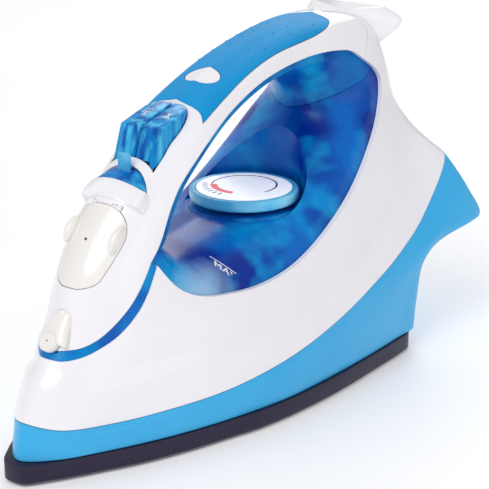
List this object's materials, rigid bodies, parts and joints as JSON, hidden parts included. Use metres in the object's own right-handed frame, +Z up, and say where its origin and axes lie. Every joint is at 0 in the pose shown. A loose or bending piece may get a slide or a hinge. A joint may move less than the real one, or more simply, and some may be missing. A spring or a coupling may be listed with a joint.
{
  "type": "steam iron",
  "caption": "Household steam iron with a pointed soleplate, clear water tank, temperature dial, steam lever, spray and steam buttons and a hinged filler door.",
  "frame": {"origin": "under the middle of the iron's length and width, on the plane the soleplate stands on", "axes": "+X towards the pointed nose, +Y the iron's left side, +Z up"},
  "size_m": [0.289, 0.114, 0.1671],
  "materials": {
    "white_plastic": "glossy moulded plastic",
    "blue_plastic": "satin gloss moulded plastic",
    "clear_blue": "tinted transparent plastic",
    "button_blue": "tinted transparent plastic",
    "soft_blue": "matt soft-touch rubber",
    "sole_coating": "dark non-stick coating",
    "cast_metal": "as cast",
    "steel": "bright",
    "dark_plastic": "matt",
    "seal_rubber": "silicone",
    "lamp_glass": "lamp glass"
  },
  "bodies": {
    "housing": {"soleplate": "sole_coating", "steam_chamber_cover": "cast_metal", "heating_element": "steel", "thermostat": "cast_metal", "thermal_fuse": "steel", "heat_shield": "steel", "skirt": "blue_plastic", "body_shell": "white_plastic", "rear_cover": "white_plastic", "rear_screw_left": "steel", "rear_screw_right": "steel", "water_tank": "clear_blue", "handle_shell": "white_plastic", "handle_liner": "clear_blue", "soft_grip": "soft_blue", "lamp_lens": "white_plastic", "pilot_lamp": "lamp_glass", "spray_pump": "dark_plastic", "spray_spring": "steel", "steam_pump": "dark_plastic", "steam_spring": "steel", "drip_valve": "dark_plastic", "steam_tube": "seal_rubber", "spray_nozzle": "white_plastic", "spray_hose": "seal_rubber", "door_pin": "steel", "terminal_block": "dark_plastic"},
    "dial": {"temperature_dial": "button_blue", "dial_face": "white_plastic", "thermostat_shaft": "steel"},
    "lever": {"steam_lever": "button_blue", "steam_valve_rod": "dark_plastic"},
    "spray_key": {"spray_button": "button_blue", "spray_piston": "dark_plastic"},
    "steam_key": {"steam_button": "button_blue", "steam_piston": "dark_plastic"},
    "door": {"filler_door": "white_plastic", "filler_seal": "seal_rubber"},
    "gland": {"cord_gland": "dark_plastic"}
  },
  "joints": [
    {"name": "dial_turn", "type": "hinge", "parent": "housing", "child": "dial", "pos_m": [-0.0165, 0, 0.09], "axis": [0, 0, 1], "range_deg": [-150, 150]},
    {"name": "lever_turn", "type": "hinge", "parent": "housing", "child": "lever", "pos_m": [0.07699, 0, 0.1105], "axis": [0.6107, 0, 0.7918], "range_deg": [-25, 25]},
    {"name": "spray_press", "type": "slide", "parent": "housing", "child": "spray_key", "axis": [0.3298, 0, -0.9441], "range_m": [0, 0.005], "stiffness_N_per_m": 400, "deforming": ["spray_spring"]},
    {"name": "steam_press", "type": "slide", "parent": "housing", "child": "steam_key", "axis": [0.3298, 0, -0.9441], "range_m": [0, 0.005], "stiffness_N_per_m": 400, "deforming": ["steam_spring"]},
    {"name": "door_swing", "type": "hinge", "parent": "housing", "child": "door", "pos_m": [0.0814, 0, 0.10709], "axis": [0, -1, 0], "range_deg": [0, 62]},
    {"name": "gland_swivel", "type": "hinge", "parent": "housing", "child": "gland", "pos_m": [-0.1108, 0, 0.11201], "axis": [0, 1, 0], "range_deg": [-25, 25]}
  ]
}
